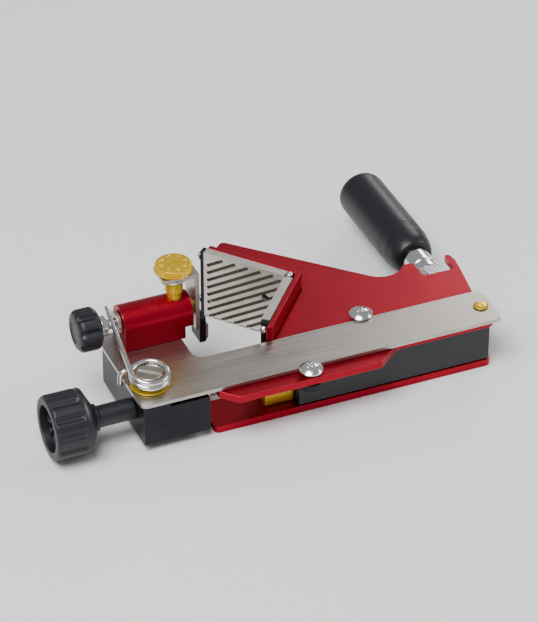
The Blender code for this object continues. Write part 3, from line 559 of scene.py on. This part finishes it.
ringPiece("pinCollar", "pin_collar", 0, 2.3, 4.8, "brushed stainless")
ringPiece("pullFerrule", "pull_knob_ferrule", 0, 2.3, 4.0, "bright plate")
ringPiece("pinBush", "pin_bush", 0, 2.3, 3.6, "turned brass", 0.15)
ringPiece("feedCollar", "feed_collar", 0, 3.3, 5.2, "brushed stainless")
ringPiece("depthRing", "depth_ring", 2, 3.8, 5.0, "bright plate", 0.2)
ringPiece("rearPillar", "rear_pillar", 2, 1.75, 3.6, "milled aluminium", 0.4)
ringPiece("springWasher", "spring_washer", 2, 2.3, 7.6, "turned brass", 0.1)
corners = [(0, 0), (2.0, 0), (2.0, 5.9), (5.0, 5.9), (5.0, 10.5), (4.7, 10.8), (0, 10.8)]
turned("springPost", "spring_post", 2, corners, "brushed stainless", slotted(10.6, 0.7), step=0.15,
       steps=192)
print("pin, rings and posts made")


depthLook = {
    "knurls": 60, "knurlDepth": 0.35, "rim": (7.0, 0.3), "rimFrom": 13.9, "threadDepth": 0.3,
    "pitch": 1.0, "neckStart": (5.2, 0.6), "neckStop": (13.2, 0.6), "neckFrom": 3.0, "neckTo": 3.6,
    "dimples": 8, "dimpleAt": 4.9, "dimpleSize": (0.75, 0.35), "dimpleDepth": 0.6, "face": 16.9,
    "slotHalf": (0.6, 0.2), "slotReach": (3.2, 0.3), "slotDepth": 0.9,
}


# a straight knurl on the rim, round dimples and a slot in the face, and a thread on the neck
def depthShape(radius, distance, angle):
    rim = rise(radius, *depthLook["rim"]) * (distance > depthLook["rimFrom"])
    knurl = 0.5 - 0.5 * np.cos(depthLook["knurls"] * angle)
    turn = distance / depthLook["pitch"] - angle / (2 * np.pi)
    neck = between(distance, depthLook["neckStart"], depthLook["neckStop"])
    neck = neck * (radius > depthLook["neckFrom"]) * (radius < depthLook["neckTo"])
    thread = 0.5 - 0.5 * np.cos(2 * np.pi * turn)
    side = 2 * np.pi / depthLook["dimples"]
    local = np.mod(angle + side / 2, side) - side / 2
    away = np.hypot(radius * np.cos(local) - depthLook["dimpleAt"], radius * np.sin(local))
    face = distance > depthLook["face"]
    dimple = (1 - rise(away, *depthLook["dimpleSize"])) * face
    across = 1 - rise(np.abs(radius * np.sin(angle)), *depthLook["slotHalf"])
    slot = across * (1 - rise(radius, *depthLook["slotReach"])) * face
    cut = depthLook["knurlDepth"] * knurl * rim + depthLook["threadDepth"] * thread * neck
    sink = depthLook["dimpleDepth"] * dimple
    return radius - cut, distance - sink - depthLook["slotDepth"] * slot


corners = [(0, 0), (2.4, 0), (3.0, 0.4), (3.0, 4.4), (3.5, 4.8), (3.5, 13.8), (6.8, 13.8),
           (7.4, 14.4), (7.4, 16.6), (6.8, 17.2), (0, 17.2)]
turned("depthScrew", "depth_screw", 2, corners, "turned brass", depthShape, fillet=0.25, step=0.16,
       steps=240)


springLook = {
    "turns": 1.75, "pitch": 2.3, "mean": 7.0, "wire": 1.05, "tilt": 0.13, "sides": 20,
    "coilBase": 2.9, "hookGap": 0.3, "hookDrop": 1.8, "hookBend": 1.5, "legPast": 3.4,
    "legSide": 4.5, "pinRadius": 2.0, "legGap": 1.7, "smoothings": 6,
    "domeScale": (1.0, 0.92, 0.7, 0.38, 0.0), "domeLength": 0.45,
}


# The wire's middle line: a short hook, a helix (c + R cos a, c + R sin a, pitch n + tilt R sin a)
# that turns clockwise, and a straight leg to the pin. Smoothed by averaging neighbours.
def springLine():
    centre = lowHighMiddle("spring_post")[2]
    plateLow, plateHigh, _ = lowHighMiddle("slide_plate")
    mean, wire = springLook["mean"], springLook["wire"]
    base = plateHigh[2] + springLook["coilBase"]
    sweep = springLook["turns"] * 2 * np.pi
    share = np.linspace(0, 1, 150)
    angle = np.pi / 2 - sweep * share
    coil = np.stack([centre[0] + mean * np.cos(angle), centre[1] + mean * np.sin(angle),
                     base + springLook["pitch"] * springLook["turns"] * share
                     + springLook["tilt"] * mean * np.sin(angle)], axis=1)
    hookX = plateLow[0] - springLook["hookGap"] - wire
    first = base + springLook["tilt"] * mean
    bend = springLook["hookBend"]
    hookEnd = np.array([hookX, centre[1] + mean, plateHigh[2] - springLook["hookDrop"]])
    hookTop = np.array([hookX, centre[1] + mean, first - bend])
    turnIn = np.array([hookX + bend, centre[1] + mean, first])
    blockLow = lowHighMiddle("spindle_block")[0]
    pinAxis = lowHighMiddle("index_pin")[2]
    legEnd = np.array([blockLow[0] - springLook["legPast"], pinAxis[1] + springLook["legSide"],
                       pinAxis[2] + springLook["pinRadius"] + wire + springLook["legGap"]])
    line = np.concatenate([np.linspace(hookEnd, hookTop, 8, endpoint=False),
                           np.linspace(hookTop, turnIn, 6, endpoint=False),
                           np.linspace(turnIn, coil[0], 14, endpoint=False), coil,
                           np.linspace(coil[-1], legEnd, 50)[1:]])
    for _ in range(springLook["smoothings"]):
        line[1:-1] = (line[:-2] + 2 * line[1:-1] + line[2:]) / 4
    return line


# a round wire carried along a line: centre + r (cos t * side + sin t * up), with both ends domed
def wireAlong(name, line, radius, sides):
    tangent = np.gradient(line, axis=0)
    tangent /= np.linalg.norm(tangent, axis=1, keepdims=True)
    side = np.empty_like(line)
    side[0] = np.cross(tangent[0], (0, 1, 0))
    for i in range(1, len(line)):
        side[i] = side[i - 1] - tangent[i] * (side[i - 1] @ tangent[i])
        side[i] /= np.linalg.norm(side[i])
    side[0] /= np.linalg.norm(side[0])
    up = np.cross(tangent, side)
    dome = np.array(springLook["domeScale"])
    reach = springLook["domeLength"] * np.sqrt(1 - dome ** 2)
    before = line[0] - tangent[0] * reach[::-1][:, None] * radius
    after = line[-1] + tangent[-1] * reach[:, None] * radius
    centres = np.concatenate([before, line, after])
    scale = np.concatenate([dome[::-1], np.ones(len(line)), dome]) * radius
    side, up = (np.pad(vectors, ((len(dome), len(dome)), (0, 0)), mode="edge")
                for vectors in (side, up))
    angle = np.linspace(0, 2 * np.pi, sides, endpoint=False)[None, :, None]
    spokes = side[:, None] * np.cos(angle) + up[:, None] * np.sin(angle)
    return gridMesh(name, centres[:, None] + scale[:, None, None] * spokes)


springMiddle = springLine()
spring = wireAlong("torsionSpring", springMiddle, springLook["wire"], springLook["sides"])
spring.data.materials.append(finishes["bright plate"])
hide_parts("torsion_spring")
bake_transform(spring)
print("depth screw and spring made")


studio = {
    "floor": "#F0F0EF", "floorRoughness": 0.8, "floorReach": 4, "floorDrop": 0.0002,
    "world": "#F2F4F8", "worldStrength": 0.36, "sensor": 36.0, "clipStart": 0.01,
    "lens": 215.0, "cameraAt": (-0.3913, -0.9688, 0.7468), "aim": (0.012, -0.008, 0.018),
    "lightAim": (0, 0, 0.02),
}

floorMesh = bpy.data.meshes.new("floor")
reach, drop = studio["floorReach"], studio["floorDrop"]
floorMesh.from_pydata([(x * reach, y * reach, -drop)
                       for x, y in ((-1, -1), (1, -1), (1, 1), (-1, 1))], [], [(0, 1, 2, 3)])
floor = bpy.data.objects.new("floor", floorMesh)
bpy.context.scene.collection.objects.link(floor)
paper = bpy.data.materials.new("matt paper")
paper.use_nodes = True
paperInputs = paper.node_tree.nodes["Principled BSDF"].inputs
paperInputs["Base Color"].default_value = linear(studio["floor"])
paperInputs["Roughness"].default_value = studio["floorRoughness"]
floorMesh.materials.append(paper)

world = bpy.data.worlds.new("studio")
world.use_nodes = True
worldInputs = world.node_tree.nodes["Background"].inputs
worldInputs["Color"].default_value = linear(studio["world"])
worldInputs["Strength"].default_value = studio["worldStrength"]
bpy.context.scene.world = world


# a square softbox at a place, turned to face the tool
def softbox(name, place, size, power):
    light = bpy.data.lights.new(name, "AREA")
    light.shape = "SQUARE"
    light.size = size
    light.energy = power
    lamp = bpy.data.objects.new(name, light)
    lamp.location = place
    towards = Vector(studio["lightAim"]) - Vector(place)
    lamp.rotation_euler = towards.to_track_quat("-Z", "Y").to_euler()
    bpy.context.scene.collection.objects.link(lamp)


softbox("keyLight", (-0.55, -0.45, 1.25), 0.8, 25)
softbox("backLight", (0.63, 0.66, 0.50), 0.30, 2.3)
softbox("sideLight", (1.2, -0.3, 0.7), 0.6, 5)

camera = bpy.data.objects.new("camera", bpy.data.cameras.new("camera"))
camera.data.sensor_width = studio["sensor"]
camera.data.sensor_fit = "HORIZONTAL"
camera.data.lens = studio["lens"]
camera.data.clip_start = studio["clipStart"]
camera.location = studio["cameraAt"]
sight = Vector(studio["aim"]) - Vector(studio["cameraAt"])
camera.rotation_euler = sight.to_track_quat("-Z", "Y").to_euler()
bpy.context.scene.collection.objects.link(camera)
bpy.context.scene.camera = camera
print("studio ready")
